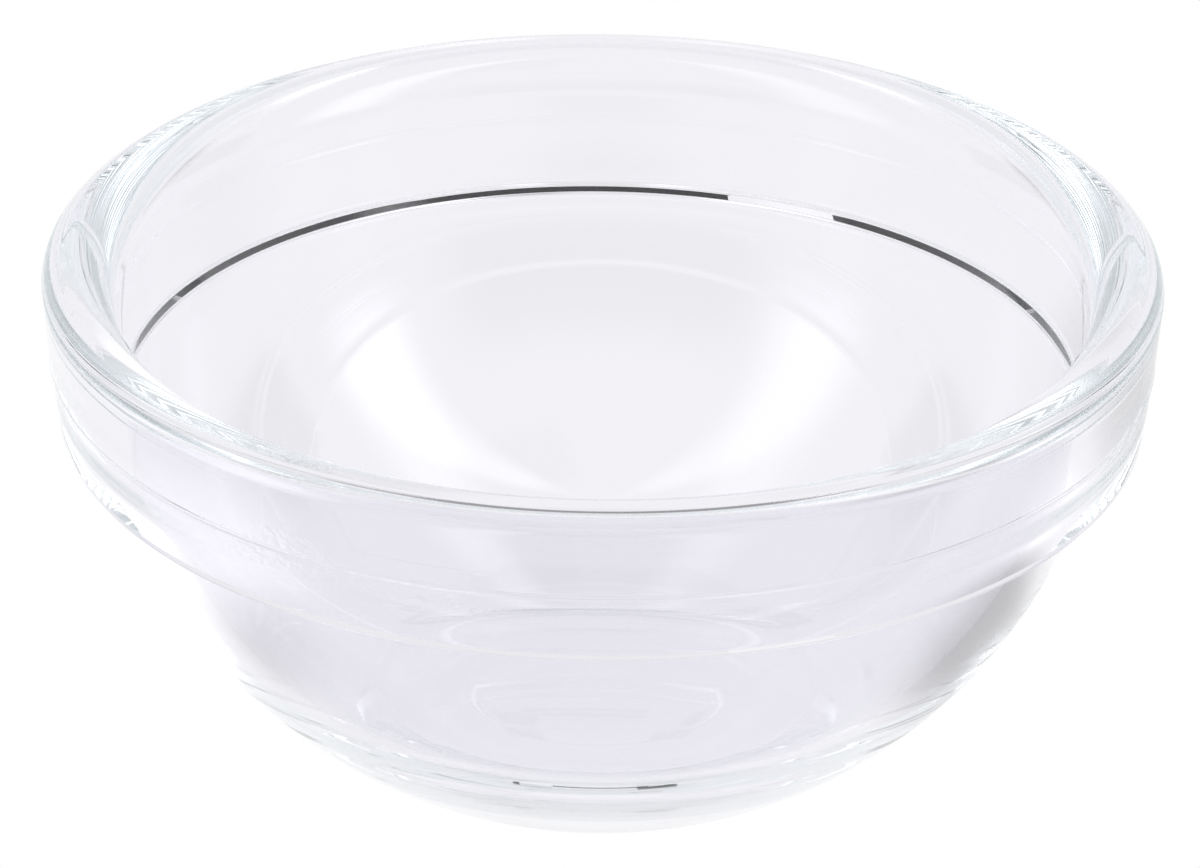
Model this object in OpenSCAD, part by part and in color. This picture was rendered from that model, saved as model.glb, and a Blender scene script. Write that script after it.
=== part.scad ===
// Small prep bowl: one piece of pressed clear glass, turned about the Z axis.
// The foot stands on z = 0 and the axis of the bowl is the Z axis. Sizes are in millimetres.

/* [Rim] */
// Outside diameter at the widest place, just below the lip
rim_d = 90; // [86:0.5:95]
// Height from the table to the top of the lip
height = 42; // [39:0.5:44]
// Radius of the outer edge of the lip
lip_outer_r = 1.4; // [0.8:0.1:1.8]
// Radius of the inner edge of the lip
lip_inner_r = 4; // [2:0.1:4.3]
// Depth from the top of the lip to where the straight mouth runs into the round inside
mouth_drop = 8.8; // [6:0.1:12]

/* [Band] */
// Depth from the top of the lip to the mould seam round the band
seam_drop = 7.3; // [5:0.1:10]
// Depth from the top of the lip to the lower edge of the band
band_drop = 13.2; // [11:0.1:15]
// Taper of the band above the seam, in degrees
upper_draft = 4.9; // [2:0.1:6]
// Taper of the band below the seam, in degrees
lower_draft = 7.2; // [4:0.1:9]
// Width of the step under the band, from the edge of the band in to the body
step_w = 3.1; // [2:0.1:4]
// Radius of the lower edge of the band
band_edge_r = 0.5; // [0.3:0.1:1]
// Radius in the corner between the step and the body
step_corner_r = 0.6; // [0.3:0.1:1]

/* [Body] */
// Thickness of the round wall
wall = 2.6; // [2.2:0.1:3.4]
// Thickness of the floor over the flat ring of the foot
floor_t = 3.6; // [2.6:0.1:5]
// Radius where the floor turns up into the wall
floor_round_r = 26; // [10:0.5:30]

/* [Foot] */
// Diameter of the foot, where the round body would meet the table
foot_d = 39; // [35:0.5:44]
// Radius of the round between the body and the underside
foot_edge_r = 1.5; // [0.5:0.1:3]
// Diameter of the shallow hollow under the foot
hollow_d = 28; // [20:0.5:34]
// Depth of the shallow hollow under the foot
hollow_depth = 0.3; // [0.2:0.1:1]

/* [Hidden] */
$fn = 192;
glass_tint = [0.86, 0.92, 0.93];
// Width of the crown of the lip that the two rounds leave at least
lip_crown = 0.2;
// Angles between the points of small rounds, of the balls and of the hollow's cap, in degrees
round_step = 6;
ball_step = 3;
cap_step = 0.5;

rim_r = rim_d / 2;
foot_r = foot_d / 2;
hollow_r = hollow_d / 2;
band_z = height - band_drop;
seam_z = height - seam_drop;
mouth_z = height - mouth_drop;

// The lip's outer round, and the band that tapers down from it to the seam and on to the step
lip_outer = [rim_r - lip_outer_r, height - lip_outer_r];
lip_leave = lip_outer + lip_outer_r * [cos(upper_draft), -sin(upper_draft)];
seam_r = lip_leave[0] - (lip_leave[1] - seam_z) * tan(upper_draft);
band_r = seam_r - (seam_z - band_z) * tan(lower_draft);

// The round of the band's lower edge, tangent to the band and to the step
band_edge = [band_r + band_edge_r * (tan(lower_draft) - 1 / cos(lower_draft)), band_z + band_edge_r];

// The body is a ball centred on the axis, through the inner corner of the step and the rim of the foot
step_r = band_r - step_w;
ball_z = (pow(step_r, 2) - pow(foot_r, 2) + pow(band_z, 2)) / (2 * band_z);
ball = [0, ball_z];
ball_r = norm([foot_r, ball_z]);

// The round of the foot, tangent to the ball and to the table
foot_reach = ball_r - foot_edge_r;
foot_round = [sqrt(pow(foot_reach, 2) - pow(ball_z - foot_edge_r, 2)), foot_edge_r];
foot_angle = atan2(foot_edge_r - ball_z, foot_round[0]);

// The round in the corner between the step and the ball, tangent to both
corner_z = band_z - step_corner_r;
corner = [sqrt(pow(ball_r + step_corner_r, 2) - pow(ball_z - corner_z, 2)), corner_z];
corner_angle = atan2(corner_z - ball_z, corner[0]);

// The inside is a smaller ball on the same centre, and the straight mouth leaves it without a bend
inner_ball_r = ball_r - wall;
mouth_draft = asin((ball_z - mouth_z) / inner_ball_r);
mouth_top_r = inner_ball_r * cos(mouth_draft) + mouth_drop * tan(mouth_draft);

// The lip's inner round is tangent to the mouth and to the top, and leaves room for the crown
lip_room = lip_outer[0] - lip_crown - mouth_top_r;
lip_lean = (1 - sin(mouth_draft)) / cos(mouth_draft);
lip_round_r = min(lip_inner_r, lip_room / lip_lean);
lip_inner = [mouth_top_r + lip_round_r * lip_lean, height - lip_round_r];

// The round between the floor and the inner ball, tangent to both
floor_round_z = floor_t + floor_round_r;
floor_round_reach = inner_ball_r - floor_round_r;
floor_round = [sqrt(pow(floor_round_reach, 2) - pow(ball_z - floor_round_z, 2)), floor_round_z];
floor_angle = atan2(floor_round_z - ball_z, floor_round[0]);

// The hollow under the foot, a shallow cap of a large ball
cap_r = (pow(hollow_r, 2) + pow(hollow_depth, 2)) / (2 * hollow_depth);
cap = [0, hollow_depth - cap_r];
cap_angle = acos(hollow_r / cap_r);

// Points along an arc from one angle to another, with equal angles between them
function arc(centre, r, from, to, step) =
    let (count = ceil(abs(to - from) / step))
    [for (i = [0 : count]) let (a = from + (to - from) * i / count) centre + r * [cos(a), sin(a)]];

// The outside, from the middle of the underside out round the foot and up to the crown of the lip
function outside() = concat(
    arc(cap, cap_r, 90, cap_angle, cap_step),
    arc(foot_round, foot_edge_r, -90, foot_angle, round_step),
    arc(ball, ball_r, foot_angle, corner_angle, ball_step),
    arc(corner, step_corner_r, 180 + corner_angle, 90, round_step),
    arc(band_edge, band_edge_r, -90, -lower_draft, round_step),
    [[seam_r, seam_z]],
    arc(lip_outer, lip_outer_r, -upper_draft, 90, round_step)
);

// The inside, from the crown of the lip down the mouth and the ball to the middle of the floor
function inside() = concat(
    arc(lip_inner, lip_round_r, 90, 180 - mouth_draft, round_step),
    arc(ball, inner_ball_r, -mouth_draft, floor_angle, ball_step),
    arc(floor_round, floor_round_r, floor_angle, -90, ball_step),
    [[0, floor_t]]
);

// The bowl, pressed in one piece
module glass_bowl() {
    color(glass_tint)
        rotate_extrude()
            polygon(concat(outside(), inside()));
}

glass_bowl();
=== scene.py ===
from math import acos, asin, atan2, cos, hypot, pi, radians, sin, sqrt, tan

import bmesh
import bpy
from mathutils import Matrix, Vector


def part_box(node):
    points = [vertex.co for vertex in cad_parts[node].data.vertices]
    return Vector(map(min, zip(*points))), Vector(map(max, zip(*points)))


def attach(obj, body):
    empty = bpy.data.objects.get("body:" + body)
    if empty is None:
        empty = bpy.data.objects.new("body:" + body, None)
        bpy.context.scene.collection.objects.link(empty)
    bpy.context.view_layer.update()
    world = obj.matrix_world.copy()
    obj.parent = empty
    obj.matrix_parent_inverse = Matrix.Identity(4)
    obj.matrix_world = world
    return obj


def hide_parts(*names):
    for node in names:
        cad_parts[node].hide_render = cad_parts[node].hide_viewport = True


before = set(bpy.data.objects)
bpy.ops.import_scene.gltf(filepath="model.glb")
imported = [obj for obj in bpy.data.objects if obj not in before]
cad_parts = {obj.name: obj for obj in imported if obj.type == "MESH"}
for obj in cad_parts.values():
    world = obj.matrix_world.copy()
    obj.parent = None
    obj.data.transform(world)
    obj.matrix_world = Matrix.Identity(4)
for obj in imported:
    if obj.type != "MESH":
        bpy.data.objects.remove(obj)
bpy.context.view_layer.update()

MM = 0.001

# The bowl's main sizes, taken from the frame
lip_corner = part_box("glass_bowl")[1]
RIM_R = lip_corner[0]
HEIGHT = lip_corner[2]

# Sizes of the lip, the mouth and the band, drops are measured down from the top of the lip
LIP_OUTER_R = 1.4 * MM
LIP_INNER_R = 4 * MM
MOUTH_DROP = 8.8 * MM
SEAM_DROP = 7.3 * MM
BAND_DROP = 13.2 * MM
UPPER_DRAFT = radians(4.9)
LOWER_DRAFT = radians(7.2)
STEP_W = 3.1 * MM
BAND_EDGE_R = 0.5 * MM
STEP_CORNER_R = 0.6 * MM

# The low bead that the parting of the mould leaves round the band
SEAM_H = 0.5 * MM
SEAM_PROUD = 0.05 * MM

# Sizes of the round body, the floor and the foot
WALL = 2.6 * MM
FLOOR_T = 3.6 * MM
FLOOR_ROUND_R = 26 * MM
FOOT_R = 39 / 2 * MM
FOOT_EDGE_R = 1.5 * MM
HOLLOW_R = 28 / 2 * MM
HOLLOW_DEPTH = 0.3 * MM

# How finely the profile is drawn and turned
TURN_STEPS = 400
SMALL_ROUND_STEPS = 8
LIP_STEPS = 20
BALL_STEPS = 56
CAP_STEPS = 6
WELD = 0.005 * MM

# A short stretch at each end of a straight run, which keeps the smooth shading of the run flat
HOLD = 0.06 * MM

# The skin of the glass: slow waves all over, and a short strip of fine crinkles below the mould's parting
WAVE_LENGTH = 10 * MM
WAVE_DEPTH = 0.015 * MM
CRINKLE_LENGTH = 0.6 * MM
CRINKLE_DEPTH = 0.06 * MM
CRINKLE_PLACE = (-20 * MM, -39 * MM, 33.8 * MM)
CRINKLE_BAND_H = 2 * MM
CRINKLE_REACH = 14 * MM

# The camera that took the photograph: 27 degrees above the table, far away with a long lens
IMAGE_W = 1200
CAMERA_RISE = radians(26.97)
CAMERA_ROLL = radians(0.75)
CAMERA_DISTANCE = 630 * MM
CAMERA_TARGET = Vector((-0.08 * MM, 0, 26.1 * MM))
FOCAL_PIXELS = 7764
SENSOR_W_MM = 36

# The table top lies a hair under the foot
TABLE_R = 3000 * MM
TABLE_SIDES = 64
TABLE_GAP = 0.1 * MM

# How often light may turn inside the glass, which guides it a long way round the rim
GLASS_BOUNCES = 96

# The white tent round the table, with its panels in degrees as the bowl sees them.
# Azimuth turns from straight behind the bowl to the right
TENT_GLOW = 0.92
RIGHT_GAP = {"azimuth": 75, "rise": 16, "half_width": 10, "half_height": 8, "edge": 6, "glow": -0.8}
LEFT_GAP = {"azimuth": -72, "rise": 16, "half_width": 10, "half_height": 8, "edge": 6, "glow": -0.8}
HIGH_GAP = {"azimuth": 132, "rise": 69, "half_width": 25, "half_height": 6, "edge": 10, "glow": -0.4}
BACK_GAP = {"azimuth": 0, "rise": 60, "half_width": 25, "half_height": 4, "edge": 4, "glow": -0.6}
CAMERA_OPENING = {"azimuth": 180, "rise": 13, "half_width": 26, "half_height": 3, "edge": 22, "glow": -0.72}
RIGHT_SOFT_BOX = {"azimuth": 116, "rise": 46, "half_width": 2, "half_height": 26, "edge": 15, "glow": 2.2}
LEFT_SOFT_BOX = {"azimuth": -122, "rise": 46, "half_width": 2, "half_height": 26, "edge": 18, "glow": 1.5}
TENT_PANELS = (RIGHT_GAP, LEFT_GAP, HIGH_GAP, BACK_GAP, CAMERA_OPENING, RIGHT_SOFT_BOX, LEFT_SOFT_BOX)

# Small cards hang high behind the bowl, square to a line that rises from the back of its band.
# A card is placed by how far along the line it hangs, and by its middle across and up from the line
BAND_BACK = Vector((0, 43.7 * MM, 29.5 * MM))
CARD_RISE = radians(37)
LOW_CARD = {
    "name": "dark_low_card",
    "along": 120 * MM,
    "across": 0,
    "up": 0,
    "width": 40 * MM,
    "height": 6 * MM,
    "glow": 0,
}
LEFT_CARD = {
    "name": "dark_left_card",
    "along": 120 * MM,
    "across": -23.5 * MM,
    "up": 17.5 * MM,
    "width": 15 * MM,
    "height": 33 * MM,
    "glow": 0,
}
RIGHT_CARD = {
    "name": "dark_right_card",
    "along": 120 * MM,
    "across": 23.5 * MM,
    "up": 17.5 * MM,
    "width": 15 * MM,
    "height": 33 * MM,
    "glow": 0,
}
WHITE_CARD = {
    "name": "white_card",
    "along": 79 * MM,
    "across": 15.8 * MM,
    "up": 2 * MM,
    "width": 9.2 * MM,
    "height": 22 * MM,
    "glow": 1,
}
CARDS = (LOW_CARD, LEFT_CARD, RIGHT_CARD, WHITE_CARD)

# Soft painted shadows and painted glares on the table round the bowl, which show through the glass: a
# negative glow is painted shade, a positive glow painted light
LEFT_SHADE = {"x": -44 * MM, "y": -20 * MM, "radius": 3 * MM, "edge": 13 * MM, "glow": -0.4}
RIGHT_SHADE = {"x": 76 * MM, "y": 56 * MM, "radius": 8 * MM, "edge": 28 * MM, "glow": -0.27}
NEAR_SHADE = {"x": 46 * MM, "y": -6 * MM, "radius": 8 * MM, "edge": 16 * MM, "glow": -0.42}
FRONT_SHADE = {"x": -32 * MM, "y": -37 * MM, "radius": 5 * MM, "edge": 22 * MM, "glow": -0.14}
LEFT_GLARE = {"x": -50 * MM, "y": 20 * MM, "radius": 12 * MM, "edge": 16 * MM, "glow": 0.25}
RIGHT_GLARE = {"x": 76 * MM, "y": 3 * MM, "radius": 4 * MM, "edge": 18 * MM, "glow": 0.32}
FAR_SHADE = {"x": 0, "y": -130 * MM, "radius": 25 * MM, "edge": 40 * MM, "glow": -0.5}
TABLE_PAINTED_LIGHT = (FAR_SHADE, LEFT_SHADE, RIGHT_SHADE, NEAR_SHADE, FRONT_SHADE, LEFT_GLARE, RIGHT_GLARE)


def linear(hex_colour):
    """The linear colour of an sRGB hex value."""
    shares = [int(hex_colour[i:i + 2], 16) / 255 for i in (1, 3, 5)]
    return [s / 12.92 if s <= 0.04045 else ((s + 0.055) / 1.055) ** 2.4 for s in shares] + [1]


def add_node(tree, kind, settings=None, inputs=None):
    """Adds a node. An input is a plain value, or a pair of a node and its output's name or number."""
    node = tree.nodes.new(kind)
    for name, value in (settings or {}).items():
        setattr(node, name, value)
    for name, value in (inputs or {}).items():
        if isinstance(value, tuple) and isinstance(value[0], bpy.types.Node):
            tree.links.new(value[0].outputs[value[1]], node.inputs[name])
        else:
            node.inputs[name].default_value = value
    return node


def empty_material(name):
    """A material with only its output node."""
    material = bpy.data.materials.new(name)
    material.use_nodes = True
    material.node_tree.nodes.clear()
    output = add_node(material.node_tree, "ShaderNodeOutputMaterial")
    return material, material.node_tree, output


def start_profile(name, height):
    """A single point on the axis, in edit mode, made from a small plane."""
    bpy.ops.object.select_all(action="DESELECT")
    bpy.ops.mesh.primitive_plane_add(size=RIM_R, location=(0, 0, height))
    piece = bpy.context.object
    piece.name = name
    bpy.ops.object.transform_apply(location=True, rotation=True, scale=True)
    bpy.ops.object.mode_set(mode="EDIT")
    bpy.ops.mesh.select_all(action="SELECT")
    bpy.ops.mesh.merge(type="CENTER")
    return piece


def pen_place():
    """Where the selected end of the profile is."""
    mesh = bmesh.from_edit_mesh(bpy.context.object.data)
    return next(point.co.copy() for point in mesh.verts if point.select)


def draw_line(r, z):
    """A straight run of the profile, to a radius and a height, with a short stretch at each end."""
    run = Vector((r, 0, z)) - pen_place()
    hold = HOLD * run.normalized()
    for stretch in (hold, run - 2 * hold, hold):
        bpy.ops.mesh.extrude_region_move(TRANSFORM_OT_translate={"value": stretch})


def draw_arc(centre, turn, steps):
    """A round stretch of the profile about a centre, anticlockwise for a positive turn."""
    bpy.ops.mesh.spin(steps=steps, angle=turn, center=(centre[0], 0, centre[1]), axis=(0, 1, 0))


def turn_profile(piece):
    """Turns the profile about the axis into a closed body."""
    bpy.ops.object.mode_set(mode="OBJECT")
    bpy.ops.object.modifier_add(type="SCREW")
    turning = piece.modifiers[-1]
    turning.axis = "Z"
    turning.angle = 2 * pi
    turning.steps = TURN_STEPS
    turning.render_steps = TURN_STEPS
    bpy.ops.object.modifier_apply(modifier=turning.name)
    bpy.ops.object.mode_set(mode="EDIT")
    bpy.ops.mesh.select_all(action="SELECT")
    bpy.ops.mesh.remove_doubles(threshold=WELD)
    bpy.ops.mesh.normals_make_consistent(inside=False)
    bpy.ops.object.mode_set(mode="OBJECT")
    bpy.ops.object.shade_smooth()
    return piece


def model_bowl():
    """The bowl's profile, drawn from the middle of the underside round the lip to the middle of the floor."""
    band_z = HEIGHT - BAND_DROP
    seam_z = HEIGHT - SEAM_DROP
    mouth_z = HEIGHT - MOUTH_DROP
    lip_outer = (RIM_R - LIP_OUTER_R, HEIGHT - LIP_OUTER_R)
    leave_r = lip_outer[0] + LIP_OUTER_R * cos(UPPER_DRAFT)
    leave_z = lip_outer[1] - LIP_OUTER_R * sin(UPPER_DRAFT)
    seam_r = leave_r - (leave_z - seam_z) * tan(UPPER_DRAFT)
    band_r = seam_r - (seam_z - band_z) * tan(LOWER_DRAFT)
    band_edge = (band_r + BAND_EDGE_R * (tan(LOWER_DRAFT) - 1 / cos(LOWER_DRAFT)), band_z + BAND_EDGE_R)

    # The bead at the mould's parting is a low arc across the seam
    seam_half = 2 * atan2(SEAM_PROUD, SEAM_H / 2)
    seam_lean = (UPPER_DRAFT + LOWER_DRAFT) / 2
    bead_r = SEAM_H / 2 / sin(seam_half)
    bead_depth = bead_r * cos(seam_half)
    bead = (seam_r - bead_depth * cos(seam_lean), seam_z + bead_depth * sin(seam_lean))

    # The body is a ball on the axis, through the inner corner of the step and the rim of the foot
    step_r = band_r - STEP_W
    ball_z = (step_r ** 2 - FOOT_R ** 2 + band_z ** 2) / (2 * band_z)
    ball_r = hypot(FOOT_R, ball_z)
    foot_round_r = sqrt((ball_r - FOOT_EDGE_R) ** 2 - (ball_z - FOOT_EDGE_R) ** 2)
    foot_angle = atan2(FOOT_EDGE_R - ball_z, foot_round_r)
    corner_z = band_z - STEP_CORNER_R
    corner = (sqrt((ball_r + STEP_CORNER_R) ** 2 - (ball_z - corner_z) ** 2), corner_z)
    corner_angle = atan2(corner_z - ball_z, corner[0])

    # The inside is a smaller ball, with a straight mouth and a round at the floor that both run into it
    inner_r = ball_r - WALL
    mouth_draft = asin((ball_z - mouth_z) / inner_r)
    mouth_top_r = inner_r * cos(mouth_draft) + MOUTH_DROP * tan(mouth_draft)
    lip_inner = (mouth_top_r + LIP_INNER_R * (1 - sin(mouth_draft)) / cos(mouth_draft), HEIGHT - LIP_INNER_R)
    floor_round_z = FLOOR_T + FLOOR_ROUND_R
    floor_round = (sqrt((inner_r - FLOOR_ROUND_R) ** 2 - (ball_z - floor_round_z) ** 2), floor_round_z)
    floor_angle = atan2(floor_round_z - ball_z, floor_round[0])

    # The hollow under the foot is a shallow cap of a large ball
    cap_r = (HOLLOW_R ** 2 + HOLLOW_DEPTH ** 2) / (2 * HOLLOW_DEPTH)
    cap_angle = acos(HOLLOW_R / cap_r)

    bowl = start_profile("glass_bowl_pressed", HOLLOW_DEPTH)
    draw_arc((0, HOLLOW_DEPTH - cap_r), cap_angle - pi / 2, CAP_STEPS)
    draw_line(foot_round_r, 0)
    draw_arc((foot_round_r, FOOT_EDGE_R), foot_angle + pi / 2, SMALL_ROUND_STEPS)
    draw_arc((0, ball_z), corner_angle - foot_angle, BALL_STEPS)
    draw_arc(corner, -pi / 2 - corner_angle, SMALL_ROUND_STEPS)
    draw_line(band_edge[0], band_z)
    draw_arc(band_edge, pi / 2 - LOWER_DRAFT, SMALL_ROUND_STEPS)
    draw_line(seam_r - SEAM_H / 2 * tan(LOWER_DRAFT), seam_z - SEAM_H / 2)
    draw_arc(bead, 2 * seam_half, SMALL_ROUND_STEPS)
    draw_line(leave_r, leave_z)
    draw_arc(lip_outer, pi / 2 + UPPER_DRAFT, LIP_STEPS)
    draw_line(lip_inner[0], HEIGHT)
    draw_arc(lip_inner, pi / 2 - mouth_draft, LIP_STEPS)
    draw_line(inner_r * cos(mouth_draft), mouth_z)
    draw_arc((0, ball_z), floor_angle + mouth_draft, BALL_STEPS)
    draw_arc(floor_round, -pi / 2 - floor_angle, LIP_STEPS)
    draw_line(0, FLOOR_T)
    return turn_profile(bowl)


def clear_glass():
    """Pressed soda-lime glass, tempered and fire polished: clear, smooth, a little green where it is thick.

    The press leaves it a little wavy all over, and a short strip of it finely crinkled below the parting."""
    material, tree, output = empty_material("clear_soda_lime_glass")
    place = add_node(tree, "ShaderNodeTexCoord")
    waves = add_node(tree, "ShaderNodeTexNoise", inputs={
        "Vector": (place, "Object"),
        "Scale": 1 / WAVE_LENGTH,
        "Detail": 0,
    })
    crinkles = add_node(tree, "ShaderNodeTexNoise", inputs={
        "Vector": (place, "Object"),
        "Scale": 1 / CRINKLE_LENGTH,
        "Detail": 2,
    })
    height = add_node(tree, "ShaderNodeSeparateXYZ", inputs={"Vector": (place, "Object")})
    in_strip = add_node(tree, "ShaderNodeMath", {"operation": "COMPARE"}, {
        0: (height, "Z"),
        1: CRINKLE_PLACE[2],
        2: CRINKLE_BAND_H / 2,
    })
    away = add_node(tree, "ShaderNodeVectorMath", {"operation": "DISTANCE"}, {
        0: (place, "Object"),
        1: CRINKLE_PLACE,
    })
    strength = add_node(tree, "ShaderNodeMapRange", {"interpolation_type": "SMOOTHSTEP"}, {
        "Value": (away, "Value"),
        "From Min": CRINKLE_REACH / 2,
        "From Max": CRINKLE_REACH,
        "To Min": CRINKLE_DEPTH / WAVE_DEPTH,
        "To Max": 0,
    })
    crinkling = add_node(tree, "ShaderNodeMath", {"operation": "MULTIPLY"}, {
        0: (in_strip, 0),
        1: (strength, 0),
    })
    skin = add_node(tree, "ShaderNodeMath", {"operation": "MULTIPLY_ADD"}, {
        0: (crinkles, "Fac"),
        1: (crinkling, 0),
        2: (waves, "Fac"),
    })
    relief = add_node(tree, "ShaderNodeBump", inputs={
        "Height": (skin, 0),
        "Strength": 1,
        "Distance": WAVE_DEPTH,
    })
    glass = add_node(tree, "ShaderNodeBsdfPrincipled", inputs={
        "Base Color": linear("#f3f2f7"),
        "Transmission Weight": 1,
        "Roughness": 0,
        "IOR": 1.52,
        "Normal": (relief, 0),
    })
    depth = add_node(tree, "ShaderNodeVolumeAbsorption", inputs={
        "Color": linear("#e4f6f6"),
        "Density": 2.5,
    })
    tree.links.new(glass.outputs["BSDF"], output.inputs["Surface"])
    tree.links.new(depth.outputs["Volume"], output.inputs["Volume"])
    return material


def lit_surface(name, even_glow, painted_spots=()):
    """A surface lit evenly by its own glow, with soft round spots of painted shade where the light falls off
    and of painted light where it gathers.
    """
    material, tree, output = empty_material(name)
    light = even_glow
    # Each spot adds painted shade or painted light to the even glow
    for painted_spot in painted_spots:
        place = add_node(tree, "ShaderNodeTexCoord")
        away = add_node(tree, "ShaderNodeVectorMath", {"operation": "DISTANCE"}, {
            0: (place, "Object"),
            1: (painted_spot["x"], painted_spot["y"], -TABLE_GAP),
        })
        glow = add_node(tree, "ShaderNodeMapRange", {"interpolation_type": "SMOOTHSTEP"}, {
            "Value": (away, "Value"),
            "From Min": painted_spot["radius"],
            "From Max": painted_spot["radius"] + painted_spot["edge"],
            "To Min": painted_spot["glow"],
            "To Max": 0,
        })
        light = (add_node(tree, "ShaderNodeMath", {"operation": "ADD"}, {0: light, 1: (glow, 0)}), 0)
    surface = add_node(tree, "ShaderNodeEmission", inputs={"Color": linear("#ffffff"), "Strength": light})
    tree.links.new(surface.outputs["Emission"], output.inputs["Surface"])
    return material


def add_camera():
    """The photograph's camera."""
    data = bpy.data.cameras.new("camera")
    data.sensor_fit = "HORIZONTAL"
    data.sensor_width = SENSOR_W_MM
    data.lens = SENSOR_W_MM * FOCAL_PIXELS / IMAGE_W
    camera = bpy.data.objects.new("camera", data)
    bpy.context.scene.collection.objects.link(camera)
    away = Vector((0, -cos(CAMERA_RISE), sin(CAMERA_RISE)))
    turn = Matrix.Rotation(pi / 2 - CAMERA_RISE, 4, "X") @ Matrix.Rotation(CAMERA_ROLL, 4, "Z")
    camera.matrix_world = Matrix.Translation(CAMERA_TARGET + CAMERA_DISTANCE * away) @ turn
    bpy.context.scene.camera = camera


def add_disc(name, drop):
    """A wide level disc below the foot."""
    bpy.ops.object.select_all(action="DESELECT")
    bpy.ops.mesh.primitive_circle_add(
        vertices=TABLE_SIDES,
        radius=TABLE_R,
        fill_type="NGON",
        location=(0, 0, -drop),
    )
    disc = bpy.context.object
    disc.name = name
    bpy.ops.object.transform_apply(location=True, rotation=True, scale=True)
    return disc


def add_table():
    """The table top with its painted shadows and painted glares, which only the glass shows, over a plain
    white ground.
    """
    ground = add_disc("white_ground", 2 * TABLE_GAP)
    ground.data.materials.append(lit_surface("lit_ground", 1))
    table = add_disc("table_top", TABLE_GAP)
    # This glow carries the table's painted shadows and painted glares
    table.data.materials.append(lit_surface("table_painted_shade_and_glare", 1, TABLE_PAINTED_LIGHT))
    table.visible_camera = False


def add_card(sort):
    """A small card that leans towards the bowl, seen only through the glass."""
    along = Vector((0, cos(CARD_RISE), sin(CARD_RISE)))
    up = Vector((0, -sin(CARD_RISE), cos(CARD_RISE)))
    middle = BAND_BACK + sort["along"] * along + sort["up"] * up + Vector((sort["across"], 0, 0))
    bpy.ops.object.select_all(action="DESELECT")
    bpy.ops.mesh.primitive_plane_add(size=sort["width"], location=middle, rotation=(pi / 2 + CARD_RISE, 0, 0))
    card = bpy.context.object
    card.name = sort["name"]
    card.scale.y = sort["height"] / sort["width"]
    bpy.ops.object.transform_apply(location=True, rotation=True, scale=True)
    card.data.materials.append(lit_surface("lit_" + sort["name"], sort["glow"]))
    card.visible_camera = False
    card.visible_glossy = False


def panel_glow(tree, azimuth, rise, panel):
    """What one soft-edged panel of the tent adds to the light, by the direction that it is seen in."""
    shares = []
    for angle, middle, half in ((azimuth, "azimuth", "half_width"), (rise, "rise", "half_height")):
        off = add_node(tree, "ShaderNodeMath", {"operation": "SUBTRACT"}, {
            0: (angle, 0),
            1: radians(panel[middle]),
        })
        turn = add_node(tree, "ShaderNodeMath", {"operation": "WRAP"}, {0: (off, 0), 1: pi, 2: -pi})
        size = add_node(tree, "ShaderNodeMath", {"operation": "ABSOLUTE"}, {0: (turn, 0)})
        shares.append(add_node(tree, "ShaderNodeMapRange", {"interpolation_type": "SMOOTHSTEP"}, {
            "Value": (size, 0),
            "From Min": radians(panel[half]),
            "From Max": radians(panel[half] + panel["edge"]),
            "To Min": 1,
            "To Max": 0,
        }))
    inside = add_node(tree, "ShaderNodeMath", {"operation": "MULTIPLY"}, {
        0: (shares[0], 0),
        1: (shares[1], 0),
    })
    return add_node(tree, "ShaderNodeMath", {"operation": "MULTIPLY"}, {0: (inside, 0), 1: panel["glow"]})


def add_tent():
    """A white tent with a few dull places, a darker side where the camera stands and two tall soft boxes."""
    world = bpy.data.worlds.new("white_tent")
    bpy.context.scene.world = world
    world.use_nodes = True
    tree = world.node_tree
    place = add_node(tree, "ShaderNodeTexCoord")
    way = add_node(tree, "ShaderNodeSeparateXYZ", inputs={"Vector": (place, "Generated")})
    rise = add_node(tree, "ShaderNodeMath", {"operation": "ARCSINE"}, {0: (way, "Z")})
    azimuth = add_node(tree, "ShaderNodeMath", {"operation": "ARCTAN2"}, {0: (way, "X"), 1: (way, "Y")})
    light = TENT_GLOW
    for panel in TENT_PANELS:
        glow = panel_glow(tree, azimuth, rise, panel)
        light = (add_node(tree, "ShaderNodeMath", {"operation": "ADD"}, {0: light, 1: (glow, 0)}), 0)
    not_dark = add_node(tree, "ShaderNodeMath", {"operation": "MAXIMUM"}, {0: light, 1: 0})
    backdrop = tree.nodes["Background"]
    backdrop.inputs["Color"].default_value = linear("#ffffff")
    tree.links.new(not_dark.outputs["Value"], backdrop.inputs["Strength"])


def set_render():
    """True colours, and enough bounces for thick glass."""
    scene = bpy.context.scene
    scene.view_settings.view_transform = "Standard"
    scene.cycles.max_bounces = GLASS_BOUNCES
    scene.cycles.glossy_bounces = GLASS_BOUNCES
    scene.cycles.transmission_bounces = GLASS_BOUNCES


bowl = model_bowl()
bowl.data.materials.append(clear_glass())
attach(bowl, "root")
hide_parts("glass_bowl")
add_camera()
add_table()
for sort in CARDS:
    add_card(sort)
add_tent()
set_render()
